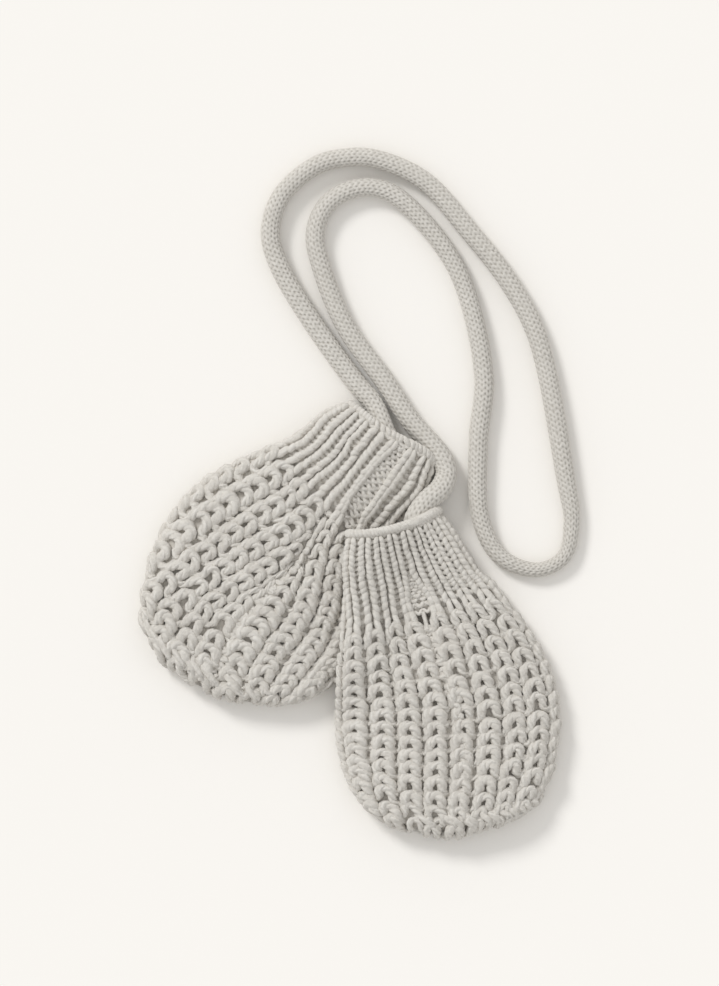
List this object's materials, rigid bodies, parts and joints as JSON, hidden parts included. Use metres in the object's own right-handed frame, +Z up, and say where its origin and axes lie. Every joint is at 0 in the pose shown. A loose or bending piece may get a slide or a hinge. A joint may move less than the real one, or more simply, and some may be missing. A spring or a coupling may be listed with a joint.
{
  "type": "pair of thumbless baby mittens joined by a knitted cord",
  "caption": "Pair of thumbless knitted baby mittens with ribbed cuffs, laid flat one on the other's edge and joined by a knitted cord.",
  "frame": {"origin": "on the surface that the mittens lie on, under the middle of the two mittens together", "axes": "+Z up out of the surface; +Y towards the top of the picture, where the cord lies; +X to the picture's right"},
  "size_m": [0.1798, 0.2803, 0.0255],
  "materials": {
    "hand_wool": "chunky half fisherman's rib in light warm grey wool",
    "cuff_wool": "fine 1x1 rib in light warm grey wool",
    "cord_wool": "smooth knitted tube in light warm grey wool"
  },
  "bodies": {
    "root": {"left_cuff": "cuff_wool", "left_hand": "hand_wool", "right_cuff": "cuff_wool", "right_hand": "hand_wool", "cord": "cord_wool"}
  },
  "joints": []
}
